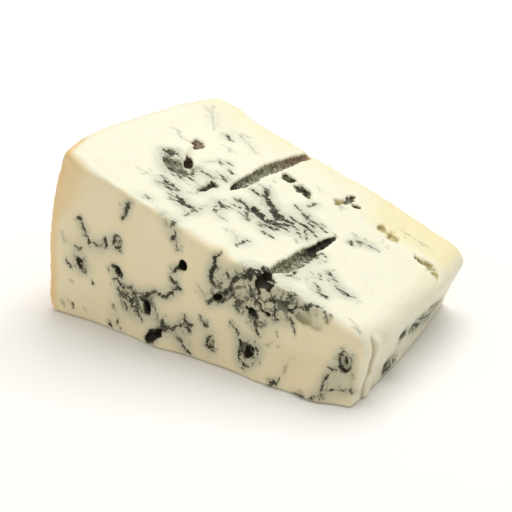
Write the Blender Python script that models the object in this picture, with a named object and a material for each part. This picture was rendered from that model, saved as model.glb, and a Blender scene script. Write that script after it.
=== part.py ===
"""A wedge of gorgonzola: one solid, a slice of a blue cheese wheel with its thin end cut off.

The wedge lies on one radial cut. Its top is the other radial cut, its front was sawn square to the
wheel's axis, its left end is the wheel's rim and its back is the wheel's flat side.
Lengths are in millimetres in the wedge's own corner frame until they are stored as metres:
x runs from the rim's foot towards the wheel's axis, y from the sawn front to the flat side, z up.
"""

import math

import bmesh
import bpy
from mathutils import Euler, Matrix, Vector, noise

MM = 0.001

# Driving dimensions of the slice
WHEEL_RADIUS = 136.0
WHEEL_AXIS_X = 133.4
RIM_BULGE = 5.0
RIM_SLUMP = 1.9
TOP_AT_RIM = 41.4
TOP_SLOPE = 0.3103
LENGTH = 84.0
DEPTH = 59.6
BACK_TAPER = 2.5
CORNER_IN_ROW = (-38.71, -28.18)

# The cut tip leans: how far each corner of the end face stands from the plane x = LENGTH
TIP_LEAN = {"front_foot": -1.2, "front_top": 1.2, "back_foot": -10.6, "back_top": -4.8}
TIP_BOW = 1.2

# How round the edges are: at the foot, at the top, and the softest stretches of the top edge
FOOT_ROUND = 1.0
RIM_ROUND, RIM_ROUND_AT_BACK, RIM_FOOT_ROUND = 2.6, 6.0, 4.5
FRONT_ROUND, FRONT_ROUND_AT_TIP = 1.5, 4.2
BACK_ROUND = 2.8
TIP_ROUND = 5.0

# The skin's grid, and how closely its lines crowd towards the edges
CELLS = (40, 26, 14)
CROWDING = 0.6

# Uneven knife work: height and wavelength of the swells, and of the finer drag
SWELL, SWELL_LENGTH = 0.4, 17.0
noise.seed_set(8)
DRAG, DRAG_LENGTH = 0.2, 5.5

# Where soft paste bellies out over the foot of the front: x, how far out, and how wide
FOOT_BELLIES = (
    (11.0, -0.7, 6.0),
    (32.5, 1.5, 6.5),
    (45.0, 0.5, 5.0),
    (64.0, 2.2, 13.0),
    (75.5, 1.7, 4.5),
)
FOOT_SPREAD, BELLY_HEIGHT = 1.2, 10.0

# Needle channels that the two radial cuts opened into troughs: x, from y, to y, radius, depth of
# the channel's centre under the top
TROUGHS = (
    (33.3, 24.0, 63.0, 1.6, 0.35),
    (59.0, 2.5, 31.5, 1.85, 0.35),
)

# Needle channels seen end-on in the front: x, z, half width, half height, tilt in degrees, depth
NEEDLE_HOLES = (
    (7.7, 13.8, 0.85, 1.7, -35, 5.0),
    (15.4, 21.3, 0.8, 1.0, 0, 2.5),
    (19.0, 22.3, 1.25, 1.6, 15, 4.5),
    (37.7, 21.1, 1.25, 1.35, 0, 7.0),
    (27.4, 8.4, 0.7, 1.7, -25, 5.0),
    (46.1, 4.7, 1.1, 1.2, 0, 2.5),
    (56.4, 5.2, 1.7, 1.8, 0, 3.2),
    (80.0, 9.6, 1.4, 2.2, -8, 3.4),
)

# Torn hollows where curds parted: centre, half sizes, turn about x, y and z in degrees
HOLLOWS = (
    # in the front
    ((30.4, -1.8, 2.7), (2.6, 3.6, 1.15), (0, -38, 0)),
    ((47.7, 0.0, 16.2), (1.9, 2.6, 1.1), (0, -25, 0)),
    ((56.0, 0.0, 15.0), (1.1, 2.4, 1.3), (0, 20, 0)),
    ((18.8, 0.0, 15.2), (1.3, 2.0, 0.9), (0, 30, 0)),
    ((58.6, 1.6, 22.6), (1.7, 3.4, 2.3), (10, 12, 15)),
    ((60.9, -0.6, 21.6), (1.9, 2.6, 1.6), (-10, 20, -30)),
    # in the top
    ((16.5, 34.0, 36.6), (1.7, 2.2, 2.2), (0, 17, 25)),
    ((20.8, 25.0, 35.0), (1.4, 2.8, 3.6), (0, 17, 42)),
    ((20.2, 21.4, 35.6), (5.0, 1.7, 1.3), (0, 17, -20)),
    ((16.4, 28.2, 36.7), (3.2, 1.3, 1.3), (0, 17, -28)),
    ((38.6, 41.2, 29.6), (1.3, 1.0, 1.7), (0, 17, -30)),
    ((43.8, 39.8, 27.8), (2.3, 1.0, 2.0), (0, 17, -28)),
    ((52.1, 47.1, 25.3), (0.9, 1.7, 1.6), (0, 17, 20)),
    ((55.2, 46.4, 24.3), (0.9, 0.8, 1.4), (0, 17, 0)),
    ((66.0, 43.0, 21.2), (3.7, 0.8, 1.2), (0, 17, -12)),
    ((80.4, 38.9, 16.7), (4.9, 1.0, 2.3), (0, 17, -14)),
    # the crevice that folded shut at the front corner of the tip
    ((84.0, 3.9, 7.6), (3.0, 0.7, 9.4), (-6, 9, -8)),
)
HOLLOW_LUMPS, LUMP_LENGTH = 0.26, 1.3

# Soft valleys and ridges that the knife left in the skin: from and to in x, y and z, how wide, how
# deep (a ridge where less than nothing), and the way inwards in plan
FOLDS = (
    # beside the crevice at the corner of the tip
    ((83.0, 0.0, 14.0), (81.6, 0.0, 2.5), 1.0, 0.55, (0.0, 1.0)),
    ((84.8, 5.6, 13.5), (83.4, 5.2, 6.0), 1.2, -0.8, (-1.0, 0.0)),
    ((84.8, 8.8, 13.0), (83.4, 8.6, 4.5), 1.5, 0.5, (-1.0, 0.0)),
    ((83.6, 4.6, 0.6), (83.6, 6.2, 2.5), 1.7, -1.1, (-0.9, 0.4)),
    # the scoop and the knob under the front's top edge
    ((70.6, -0.4, 17.6), (71.8, -0.4, 12.5), 1.7, 0.7, (0.0, 1.0)),
    ((74.0, 0.0, 15.8), (75.2, 0.0, 15.2), 1.5, -0.45, (0.0, 1.0)),
    ((63.5, 0.0, 21.0), (72.0, 0.5, 18.4), 1.3, 0.6, (0.0, 1.0)),
    # the dented corner over the rim, and the lip that the flat side has beside it
    ((2.0, -0.5, 41.0), (2.5, -0.5, 38.0), 2.2, 0.9, (0.7, 0.7)),
    ((11.0, 59.5, 38.5), (11.0, 59.5, 30.0), 3.0, -0.9, (0.0, -1.0)),
)


def ease(t):
    """0 below 0, 1 above 1, and a smooth climb between."""
    t = min(max(t, 0.0), 1.0)
    return t * t * (3 - 2 * t)


def blend(first, last, t):
    """The first value at t = 0, the last at t = 1."""
    return first + (last - first) * t


def hump(distance, width):
    """1 at no distance, falling away smoothly over about the width."""
    return math.exp(-((distance / width) ** 2))


def top_height(x):
    """Height of the upper radial cut, which meets the lower one on the wheel's axis."""
    return TOP_AT_RIM - TOP_SLOPE * x


def crowded(share):
    """Moves an even share of a side towards its nearer end, so that edges get more grid lines."""
    return share - CROWDING * math.sin(2 * math.pi * share) / (2 * math.pi)


def rounded(along, length, near_round, far_round):
    """How far into an edge's rounding a place lies: signed share, and the rounding's size."""
    if along < near_round:
        return along / near_round - 1, near_round, near_round
    if along > length - far_round:
        return (along - length) / far_round + 1, length - far_round, far_round
    return 0.0, along, 0.0


def box_point(u, v, w):
    """A place on the box grid, from 0 to 1 each way, with the box's edges rounded over."""
    x, y, up = LENGTH * crowded(u), DEPTH * crowded(v), crowded(w)
    height = top_height(x)
    high, at_tip = ease(up * 1.6), ease((x - 64) / 16)
    front = blend(FOOT_ROUND, blend(FRONT_ROUND, FRONT_ROUND_AT_TIP, at_tip), high)
    back = blend(FOOT_ROUND, BACK_ROUND, high)
    tip = blend(FOOT_ROUND, TIP_ROUND, high)
    over = blend(blend(FRONT_ROUND, BACK_ROUND, ease(y / DEPTH)), TIP_ROUND, at_tip)
    under = blend(RIM_FOOT_ROUND, FOOT_ROUND, ease(x / 8))
    rim = blend(RIM_ROUND, RIM_ROUND_AT_BACK, ease(y / DEPTH))
    shares = (
        rounded(x, LENGTH, rim, tip),
        rounded(y, DEPTH, front, back),
        rounded(height * up, height, under, over),
    )
    outward = Vector([share for share, _, _ in shares])
    outward.normalize()
    return Vector([core + share * size for share, (_, core, size) in zip(outward, shares)])


def rim_x(y, z):
    """The barrel-shaped rim of the wheel, an arc about the wheel's axis."""
    middle = 1 - abs(2 * y / DEPTH - 1) ** 2.6
    up = min(z / TOP_AT_RIM, 1.0)
    radius = WHEEL_RADIUS + RIM_BULGE * middle * blend(0.85, 1.0, up)
    slump = RIM_SLUMP * math.sin(math.pi * up**1.3) * blend(0.6, 1.0, middle)
    return WHEEL_AXIS_X - math.sqrt(radius**2 - z**2) - slump


def tip_lean(y, z):
    """How far the leaning, bowed end face stands from x = LENGTH, between its four corners."""
    back, up = y / DEPTH, ease(z / top_height(LENGTH))
    foot = blend(TIP_LEAN["front_foot"], TIP_LEAN["back_foot"], back)
    top = blend(TIP_LEAN["front_top"], TIP_LEAN["back_top"], back)
    return blend(foot, top, up) + TIP_BOW * math.sin(math.pi * back)


def belly(x, z):
    """How far the soft paste stands out over the foot of the front."""
    out = sum(far * hump(x - at, width) for at, far, width in FOOT_BELLIES)
    return (FOOT_SPREAD + out) * (1 - ease(z / BELLY_HEIGHT))


def folded(place):
    """How far the folds in the skin move a place."""
    shift = Vector((0.0, 0.0, 0.0))
    for start, end, width, depth, inwards in FOLDS:
        start, run = Vector(start), Vector(end) - Vector(start)
        share = min(max((place - start).dot(run) / run.length_squared, 0.0), 1.0)
        apart = (place - start - run * share).length
        shift += Vector((*inwards, 0.0)) * depth * hump(apart, width)
    return shift


def skin_point(u, v, w):
    """A place on the box grid, from 0 to 1 each way, moved to its place on the wedge."""
    place = box_point(u, v, w)
    x, y, z = place
    moved = place.copy()
    moved.x += (1 - ease(x / 45)) * rim_x(y, z) + ease(x / 30 - 1.8) * tip_lean(y, z)
    moved.y -= ease(y / DEPTH) * BACK_TAPER * (x / LENGTH)
    moved.y -= (1 - ease(y / 25)) * belly(x, z)
    return moved + folded(moved) + uneven(moved, w)


def uneven(place, share_up):
    """Swells and knife drag over the cut faces, fading out towards the flat resting face."""
    swell = SWELL * noise.noise_vector(place / SWELL_LENGTH)
    drag = DRAG * noise.noise_vector(place / DRAG_LENGTH)
    return (swell + drag) * ease(share_up * 3)


def grid_skin(cells):
    """A closed skin of quads over the wedge: six grids that share their border points."""
    skin = bmesh.new()
    made = {}

    def vert(index):
        if index not in made:
            shares = [i / n for i, n in zip(index, cells)]
            made[index] = skin.verts.new(skin_point(*shares) * MM)
        return made[index]

    for axis in range(3):
        first, second = (axis + 1) % 3, (axis + 2) % 3
        for side in (0, cells[axis]):
            for a in range(cells[first]):
                for b in range(cells[second]):
                    ring = []
                    for step_a, step_b in ((0, 0), (1, 0), (1, 1), (0, 1)):
                        index = [0, 0, 0]
                        index[axis] = side
                        index[first] = a + step_a
                        index[second] = b + step_b
                        ring.append(vert(tuple(index)))
                    skin.faces.new(ring if side else reversed(ring))
    return skin


def lumpy_cutter(name, centre, half_sizes, turn, cutters):
    """An uneven rounded cutter, for a place where curds parted or a fold closed."""
    ball = bmesh.new()
    bmesh.ops.create_icosphere(ball, subdivisions=2, radius=1.0)
    seat = Vector(centre)
    for vert in ball.verts:
        lump = 1 + HOLLOW_LUMPS * noise.noise(vert.co * LUMP_LENGTH + seat)
        vert.co = Vector(c * s * lump for c, s in zip(vert.co, half_sizes)) * MM
    place_cutter(name, ball, centre, turn, cutters)


def needle_cutter(name, centre, half_width, half_height, tilt, depth, cutters):
    """A blunt round-ended rod along the wheel's axis, as left by the piercing needle."""
    rod = bmesh.new()
    bmesh.ops.create_uvsphere(rod, u_segments=12, v_segments=6, radius=1.0)
    for vert in rod.verts:
        x, y, z = vert.co
        reach = depth if z > 0.01 else -3.0
        along = reach * (0.75 + 0.25 * abs(z)) if abs(z) > 0.01 else 0.0
        vert.co = Vector((x * half_width, along, -y * half_height)) * MM
    place_cutter(name, rod, centre, (0, tilt, 0), cutters)


def trough_cutter(name, x, from_y, to_y, radius, under, cutters):
    """The part of a needle channel that the top cut opened, blunt where the needle left it."""
    rod = bmesh.new()
    bmesh.ops.create_icosphere(rod, subdivisions=2, radius=1.0)
    middle, reach = (from_y + to_y) / 2, (to_y - from_y) / 2
    for vert in rod.verts:
        run = math.copysign(abs(vert.co.y) ** 0.45, vert.co.y)
        wall = math.sqrt(max(1 - abs(run) ** 6, 0.0))
        flat = Vector((vert.co.x, vert.co.z))
        round_by = wall / flat.length if flat.length > 0.001 else 0.0
        wobble = 1 + HOLLOW_LUMPS * noise.noise(Vector((x, run * reach / 3, vert.co.z)))
        flat *= round_by * radius * wobble
        vert.co = Vector((flat.x, run * reach, flat.y)) * MM
    place_cutter(name, rod, (x, middle, top_height(x) - under), (0, 0, 0), cutters)


def place_cutter(name, shape, centre, turn, cutters):
    """Stores a cutter, set in its place, in the collection that the wedge is cut by."""
    mesh = bpy.data.meshes.new(name)
    shape.to_mesh(mesh)
    shape.free()
    cutter = bpy.data.objects.new(name, mesh)
    cutter.location = row_place(centre)
    cutter.rotation_euler = Euler([math.radians(angle) for angle in turn])
    cutter.display_type = "WIRE"
    cutter.hide_render = True
    cutters.objects.link(cutter)


def row_place(place):
    """A place in the corner frame, in metres in the part's frame: origin under the middle."""
    x, y, z = place
    return Vector((x + CORNER_IN_ROW[0], y + CORNER_IN_ROW[1], z)) * MM


def paste_material():
    """Ivory paste with a soft sheen."""
    paste = bpy.data.materials.new("ivory_paste")
    paste.use_nodes = True
    shader = paste.node_tree.nodes["Principled BSDF"]
    shader.inputs["Base Color"].default_value = (0.86, 0.80, 0.62, 1.0)
    shader.inputs["Roughness"].default_value = 0.45
    shader.inputs["Metallic"].default_value = 0.0
    return paste


def build_wedge():
    """The uncut wedge, placed with its origin under the middle of its box."""
    skin = grid_skin(CELLS)
    mesh = bpy.data.meshes.new("gorgonzola_wedge")
    skin.to_mesh(mesh)
    skin.free()
    mesh.transform(Matrix.Translation(row_place((0, 0, 0))))
    mesh.materials.append(paste_material())
    mesh.shade_smooth()
    mesh.set_sharp_from_angle(angle=math.radians(40))
    wedge = bpy.data.objects.new("gorgonzola_wedge", mesh)
    bpy.context.scene.collection.objects.link(wedge)
    return wedge


def build_cutters():
    """Every trough, needle hole, torn hollow and crevice, as cutters in one collection."""
    cutters = bpy.data.collections.new("cutters")
    bpy.context.scene.collection.children.link(cutters)
    for number, trough in enumerate(TROUGHS):
        trough_cutter(f"trough_{number}", *trough, cutters)
    for number, (x, z, *rest) in enumerate(NEEDLE_HOLES):
        needle_cutter(f"needle_hole_{number}", (x, -belly(x, z), z), *rest, cutters)
    for number, hollow in enumerate(HOLLOWS):
        lumpy_cutter(f"hollow_{number}", *hollow, cutters)
    return cutters


def main():
    """Builds the wedge in an emptied scene and cuts every hollow out of it."""
    for leftover in list(bpy.data.objects):
        bpy.data.objects.remove(leftover)
    wedge = build_wedge()
    cut = wedge.modifiers.new("hollows", "BOOLEAN")
    cut.operation = "DIFFERENCE"
    cut.solver = "EXACT"
    cut.operand_type = "COLLECTION"
    cut.collection = build_cutters()


main()
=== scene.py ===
import math

import bpy
import numpy as np
from mathutils import Euler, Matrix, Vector, noise


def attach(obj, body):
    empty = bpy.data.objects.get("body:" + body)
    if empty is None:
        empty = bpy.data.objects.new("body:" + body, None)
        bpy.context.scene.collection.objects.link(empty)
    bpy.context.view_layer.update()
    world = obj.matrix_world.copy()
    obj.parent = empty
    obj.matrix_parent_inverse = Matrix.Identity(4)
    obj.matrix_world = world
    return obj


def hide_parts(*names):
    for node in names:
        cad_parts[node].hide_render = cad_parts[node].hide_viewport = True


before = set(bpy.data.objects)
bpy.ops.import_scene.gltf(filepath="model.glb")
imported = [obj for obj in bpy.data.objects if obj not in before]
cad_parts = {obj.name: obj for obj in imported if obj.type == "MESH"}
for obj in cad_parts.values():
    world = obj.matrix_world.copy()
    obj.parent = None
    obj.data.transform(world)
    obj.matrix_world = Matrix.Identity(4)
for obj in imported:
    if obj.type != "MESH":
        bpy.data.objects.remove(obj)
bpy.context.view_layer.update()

# The wedge.
# It is a slice of soft blue cheese, ripened in a wheel: ivory paste, blue-green mould along the seams
# of the curd and in the channels of the piercing needles, and a dry tan rind on the rim and the back.
# A wire cut it along two radii, a saw took it square off the wheel, and its thin end was cut away.
# Lengths are in millimetres from the front corner at the rim's foot: x to the wheel's axis, y to the
# flat side of the wheel, z up.
MM = 0.001
CORNER_IN_FRAME = (-38.71, -28.18, 0.0)
WHEEL_RADIUS, WHEEL_AXIS_X = 136.0, 133.4
RIM_BULGE, RIM_SLUMP = 5.0, 1.9
TOP_AT_RIM, TOP_SLOPE = 41.4, 0.3103
LENGTH, DEPTH, BACK_TAPER = 84.0, 59.6, 2.5
TIP_LEAN = {"front_foot": -1.2, "front_top": 1.2, "back_foot": -10.6, "back_top": -4.8}
TIP_BOW = 1.2
FOOT_ROUND, BACK_ROUND, TIP_ROUND = 1.0, 2.8, 5.0
RIM_ROUND, RIM_ROUND_AT_BACK, RIM_FOOT_ROUND = 2.6, 6.0, 4.5
FRONT_ROUND, FRONT_ROUND_AT_TIP = 1.5, 4.2
FOOT_SPREAD, BELLY_HEIGHT = 1.2, 10.0

# Swells and drag that the knife left, each with its wavelength. All the uneven values come from noise
# that starts the same each time
noise.seed_set(8)
SWELL, SWELL_LENGTH = 0.4, 17.0
DRAG, DRAG_LENGTH = 0.2, 5.5

# Where soft paste bellies out over the foot of the front: x, how far out, and how wide
FOOT_BELLIES = (
    (11.0, -0.7, 6.0),
    (32.5, 1.5, 6.5),
    (45.0, 0.5, 5.0),
    (64.0, 2.2, 13.0),
    (75.5, 1.7, 4.5),
)

# The saw left the front's upper edge unevenly worn over the top: x, how far, and how wide
FRONT_LAPS = ((5.0, 2.6, 5.0), (32.0, 0.8, 3.0), (40.5, 1.4, 3.0), (47.5, 2.4, 4.5), (76.0, 1.0, 3.0))

# Valleys and ridges in the skin: from, to, width, depth (a ridge where negative), way in, in plan
FOLDS = (
    ((82.2, 0.8, 12.0), (81.5, 0.3, 2.5), 0.9, 1.0, (0.0, 1.0)),
    ((83.6, 1.9, 12.5), (82.9, 1.3, 1.5), 0.8, -0.7, (-0.7, 0.7)),
    ((84.8, 5.6, 13.5), (83.4, 5.2, 6.0), 1.2, -0.8, (-1.0, 0.0)),
    ((84.8, 8.8, 13.0), (83.4, 8.6, 4.5), 1.5, 0.5, (-1.0, 0.0)),
    ((83.6, 4.6, 0.6), (83.6, 6.2, 2.5), 1.7, -1.1, (-0.9, 0.4)),
    ((70.4, -0.4, 15.4), (71.4, -0.4, 12.0), 0.9, 0.9, (0.0, 1.0)),
    ((63.5, 0.0, 21.0), (72.0, 0.5, 18.4), 1.3, 1.0, (0.0, 1.0)),
    ((2.0, -0.5, 41.0), (2.5, -0.5, 38.0), 2.2, 0.9, (0.7, 0.7)),
    ((11.0, 59.5, 38.5), (11.0, 59.5, 30.0), 3.0, -0.9, (0.0, -1.0)),
)

# Places where curds parted: centre, half sizes, turn about x, y and z in degrees, then how dark the
# mould in it is, how brown, and how ragged its edge. In the crevice at the tip the dark and the brown
# are painted shade, not mould
HOLLOWS = (
    # in the front
    ((30.8, -1.8, 3.0), (2.2, 3.4, 0.9), (0, -30, 0), 1.0, 0.0, 2.0),
    ((28.9, -1.9, 1.7), (1.4, 2.4, 0.8), (0, -50, 0), 1.0, 0.0, 2.0),
    ((47.7, 0.0, 16.2), (1.5, 2.2, 0.8), (0, -35, 0), 1.0, 0.0, 1.6),
    ((56.2, 0.0, 15.0), (0.8, 1.8, 1.1), (0, 30, 0), 1.0, 0.0, 1.6),
    ((60.4, 0.0, 15.2), (0.6, 1.4, 0.9), (0, 60, 0), 0.9, 0.0, 1.6),
    ((18.8, 0.0, 15.2), (0.9, 1.3, 0.6), (0, 30, 0), 0.9, 0.0, 1.6),
    ((53.4, 0.0, 19.2), (1.5, 0.8, 1.9), (0, 10, 0), 0.3, 0.1, 0.8),
    ((58.4, 1.8, 22.7), (1.5, 3.3, 2.1), (10, 12, 15), 1.0, 0.0, 2.0),
    ((60.9, -0.2, 21.6), (1.4, 1.8, 1.1), (-10, 20, -30), 0.95, 0.0, 2.0),
    ((69.6, 0.1, 17.3), (2.4, 1.0, 2.8), (30, 8, 0), 0.0, 0.0, 0.4),
    ((72.6, 0.1, 16.0), (1.6, 0.8, 1.7), (30, 20, 0), 0.0, 0.0, 0.4),
    # in the top
    ((15.6, 35.2, 36.3), (2.0, 2.5, 2.2), (0, 17, 25), 0.45, 1.0, 1.8),
    ((19.9, 26.1, 34.9), (1.1, 3.7, 3.0), (0, 17, 42), 0.68, 1.0, 0.7),
    ((19.2, 21.8, 35.0), (5.0, 2.4, 1.6), (0, 17, -24), 0.55, 0.45, 1.2),
    ((23.0, 26.6, 34.2), (1.0, 1.7, 1.2), (0, 17, 30), 0.3, 0.6, 0.9),
    ((14.7, 26.0, 36.8), (2.2, 1.2, 1.3), (0, 17, 20), 0.7, 0.7, 1.0),
    ((17.7, 30.0, 35.9), (1.0, 3.4, 1.4), (0, 17, 24), 0.25, 0.6, 0.6),
    ((29.6, 20.4, 32.1), (0.9, 3.7, 1.2), (0, 17, 3), 0.72, 0.0, 0.5),
    ((38.0, 41.5, 29.6), (2.2, 1.6, 1.7), (0, 17, -20), 0.62, 0.45, 1.0),
    ((43.2, 40.2, 27.9), (3.1, 1.4, 1.8), (0, 17, -28), 0.64, 0.45, 2.2),
    ((51.4, 47.6, 25.3), (1.2, 2.0, 1.5), (0, 17, 20), 0.62, 0.45, 1.8),
    ((54.6, 46.2, 24.4), (1.7, 1.3, 1.4), (0, 17, 30), 0.6, 0.45, 1.8),
    ((51.2, 44.4, 25.5), (1.1, 2.4, 1.0), (0, 17, -15), 0.22, 0.0, 1.4),
    ((65.6, 43.2, 20.9), (4.6, 1.7, 1.3), (-25, 17, -12), 0.22, 0.0, 1.9),
    ((78.4, 40.2, 16.7), (5.6, 1.7, 1.8), (-25, 17, -14), 0.3, 0.0, 1.8),
    ((46.4, 24.4, 27.2), (1.5, 0.9, 0.8), (0, 17, -40), 0.95, 0.0, 1.0),
    ((42.3, 21.6, 28.3), (2.1, 0.7, 0.7), (0, 17, -6), 0.95, 0.0, 1.0),
    # the crevice that folded shut at the front corner of the tip, with faint painted shade in it and
    # brown painted shade at its foot
    ((84.0, 3.9, 7.6), (3.0, 0.6, 9.2), (-6, 9, -8), 0.1, 0.1, 0.3),
    ((84.4, 4.8, 0.8), (1.2, 0.8, 2.8), (-6, 9, -8), 0.3, 1.0, 0.5),
)

# Needle channels that the wire opened along the top. Each place on the way has its y and x, the
# channel's radius, and how dark and how brown the mould in it is
TROUGHS = (
    (
        (23.0, 32.9, 0.2, 1.0, 0.0),
        (26.0, 33.1, 0.9, 0.9, 0.0),
        (29.0, 33.1, 1.4, 0.66, 0.1),
        (34.0, 33.0, 1.5, 0.56, 0.15),
        (38.5, 32.6, 1.6, 0.56, 0.1),
        (42.0, 32.8, 1.9, 0.56, 0.3),
        (45.0, 33.1, 2.0, 0.48, 0.6),
        (49.0, 33.4, 1.75, 0.38, 0.8),
        (53.0, 33.8, 1.4, 0.35, 0.9),
        (57.0, 34.2, 1.2, 0.45, 1.0),
        (62.0, 34.2, 1.1, 0.5, 1.0),
    ),
    (
        (5.3, 58.6, 0.8, 0.8, 0.0),
        (6.4, 58.8, 1.8, 0.52, 0.0),
        (10.0, 59.0, 2.0, 0.56, 0.0),
        (18.2, 59.0, 1.9, 0.52, 0.0),
        (20.4, 58.7, 1.1, 0.8, 0.0),
        (24.0, 58.8, 1.2, 0.85, 0.0),
        (28.0, 58.8, 0.9, 1.0, 0.0),
        (31.4, 58.7, 0.2, 1.0, 0.0),
    ),
)
TROUGH_UNDER = 0.45
TROUGH_ROUGH = 0.55

# Needle channels seen end-on in the front: x, z, half width, half height, lean to the right in
# degrees, depth, and how dark the mould is in the middle and just around it
NEEDLE_HOLES = (
    (7.7, 13.9, 0.75, 1.7, -35, 1.0, 0.3, 0.2),
    (19.1, 22.2, 1.0, 1.5, 15, 0.9, 0.7, 0.15),
    (37.8, 21.0, 1.25, 1.4, 0, 6.0, 1.0, 1.0),
    (27.3, 8.5, 0.65, 1.5, -25, 3.0, 1.0, 1.0),
    (46.1, 4.8, 0.9, 1.1, 0, 1.2, 0.5, 0.2),
    (56.2, 5.4, 1.1, 1.2, 0, 2.6, 1.0, 0.5),
    (80.0, 9.6, 1.35, 2.25, -8, 1.0, 0.85, 0.3),
)
NEEDLE_ROUGH = 0.3

# Dimples over needle holes that dried shut in the flat side: x and z
DIMPLE_RADIUS, DIMPLE_DARK, DIMPLE_BROWN = 1.5, 0.45, 0.5
DIMPLES = ((9.0, 27.0), (23.5, 13.0), (24.5, 29.5), (46.0, 12.5), (59.5, 14.5), (70.5, 7.5))


def ease(t):
    """0 below 0, 1 above 1, and a smooth climb between."""
    t = np.clip(t, 0.0, 1.0)
    return t * t * (3 - 2 * t)


def blend(first, last, t):
    """The first value at t = 0, the last at t = 1."""
    return first + (last - first) * t


def top_height(x):
    """Height of the upper radial cut, which meets the lower one on the wheel's axis."""
    return TOP_AT_RIM - TOP_SLOPE * x


def front_lap(x):
    """How far the wear at the front's upper edge reaches over the top."""
    return sum(far * np.exp(-(((x - at) / width) ** 2)) for at, far, width in FRONT_LAPS)


def belly(x, z):
    """How far the soft paste stands out over the foot of the front."""
    out = sum(far * np.exp(-(((x - at) / width) ** 2)) for at, far, width in FOOT_BELLIES)
    return (FOOT_SPREAD + out) * (1 - ease(z / BELLY_HEIGHT))


def rim_x(y, z):
    """The barrel-shaped rim of the wheel, an arc about the wheel's axis."""
    middle = 1 - np.abs(2 * y / DEPTH - 1) ** 2.6
    up = np.clip(z / TOP_AT_RIM, 0, 1)
    radius = WHEEL_RADIUS + RIM_BULGE * middle * blend(0.85, 1.0, up)
    slump = RIM_SLUMP * np.sin(math.pi * up**1.3) * blend(0.6, 1.0, middle)
    return WHEEL_AXIS_X - np.sqrt(radius**2 - z**2) - slump


def tip_lean(y, z):
    """How far the leaning, bowed end face stands from x = LENGTH, between its four corners."""
    back, up = y / DEPTH, ease(z / top_height(LENGTH))
    foot = blend(TIP_LEAN["front_foot"], TIP_LEAN["back_foot"], back)
    top = blend(TIP_LEAN["front_top"], TIP_LEAN["back_top"], back)
    return blend(foot, top, up) + TIP_BOW * np.sin(math.pi * np.clip(back, 0, 1))


def unfolded(x, y, z):
    """Takes the folds out of the skin, which move a place in plan only."""
    out_x, out_y = x.copy(), y.copy()
    for start, end, width, depth, (in_x, in_y) in FOLDS:
        run = np.subtract(end, start)
        off = [x - start[0], y - start[1], z - start[2]]
        share = np.clip(sum(o * r for o, r in zip(off, run)) / (run @ run), 0, 1)
        apart = sum((o - share * r) ** 2 for o, r in zip(off, run))
        press = depth * np.exp(-apart / width**2)
        out_x -= in_x * press
        out_y -= in_y * press
    return out_x, out_y


def straightened(x, y, z):
    """Takes out the rim's curve, the tip's lean, the back's taper and the belly over the foot, in
    rounds that come closer each time."""
    box_x, box_y = x, y
    for _ in range(4):
        lean = (1 - ease(box_x / 45)) * rim_x(box_y, z) + ease(box_x / 30 - 1.8) * tip_lean(box_y, z)
        taper = ease(box_y / DEPTH) * BACK_TAPER * box_x / LENGTH
        out = (1 - ease(box_y / 25)) * belly(box_x, z)
        box_x, box_y = x - lean, y + taper + out
    return box_x, box_y


def side_depths(x, y, z):
    """How far each place lies outside the rim, tip, front, back, foot and top."""
    return (-x, x - LENGTH, -y, y - DEPTH, -z, z - top_height(x))


def rounded(sides, sizes):
    """Signed distance to flat sides whose shared edges are rounded over by the sizes."""
    shares = [np.maximum(side / size + 1, 0) for side, size in zip(sides, sizes)]
    reach = np.sqrt(sum(share**2 for share in shares))
    slope = np.sqrt(sum((share / size) ** 2 for share, size in zip(shares, sizes)))
    flat = np.maximum.reduce(sides)
    return np.where(reach > 0, (reach - 1) * reach / np.maximum(slope, 1e-9), flat)


def rounded_depth(x, y, z):
    """Signed distance to the wedge, less than nothing inside."""
    up = z / top_height(x)
    high, at_tip, at_back = ease(up * 1.6), ease((x - 69) / 13), ease(y / DEPTH)
    front = blend(FOOT_ROUND, blend(FRONT_ROUND, FRONT_ROUND_AT_TIP, at_tip) + front_lap(x), high)
    rounds = (
        blend(RIM_ROUND, RIM_ROUND_AT_BACK, at_back),
        blend(FOOT_ROUND, TIP_ROUND, high),
        front,
        blend(FOOT_ROUND, BACK_ROUND, high),
        blend(RIM_FOOT_ROUND, FOOT_ROUND, ease(x / 8)),
        blend(blend(FRONT_ROUND, TIP_ROUND, at_tip) + 0.35 * front_lap(x), BACK_ROUND, at_back),
    )
    return rounded(side_depths(x, y, z), rounds)


def between_lines(fine, coarse):
    """Weights that carry values from evenly spaced lines to finer ones along a smooth curve."""
    place = (fine - coarse[0]) / (coarse[1] - coarse[0])
    base = np.clip(np.floor(place).astype(int), 1, len(coarse) - 3)
    t = place - base
    shares = (
        -0.5 * t + t**2 - 0.5 * t**3,
        1 - 2.5 * t**2 + 1.5 * t**3,
        0.5 * t + 2 * t**2 - 1.5 * t**3,
        -0.5 * t**2 + 0.5 * t**3,
    )
    weights = np.zeros((len(fine), len(coarse)))
    for step, share in enumerate(shares):
        weights[np.arange(len(fine)), base + step - 1] += share
    return weights


def knife_marks(lines, step):
    """Swells and drag of the knife at every crossing of the lines, worked out on a coarser grid."""
    coarse = [np.arange(line[0] - 2 * step, line[-1] + 4 * step, step) for line in lines]
    marks = np.empty([len(line) for line in coarse] + [3])
    for i, x in enumerate(coarse[0]):
        for j, y in enumerate(coarse[1]):
            for k, z in enumerate(coarse[2]):
                place = Vector((x, y, z))
                swell = SWELL * noise.noise_vector(place / SWELL_LENGTH)
                marks[i, j, k] = swell + DRAG * noise.noise_vector(place / DRAG_LENGTH)
    for axis, (fine, rough) in enumerate(zip(lines, coarse)):
        weights = between_lines(fine, rough)
        marks = np.moveaxis(np.tensordot(weights, marks, axes=(1, axis)), 0, axis)
    return np.moveaxis(marks, 3, 0)


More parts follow.
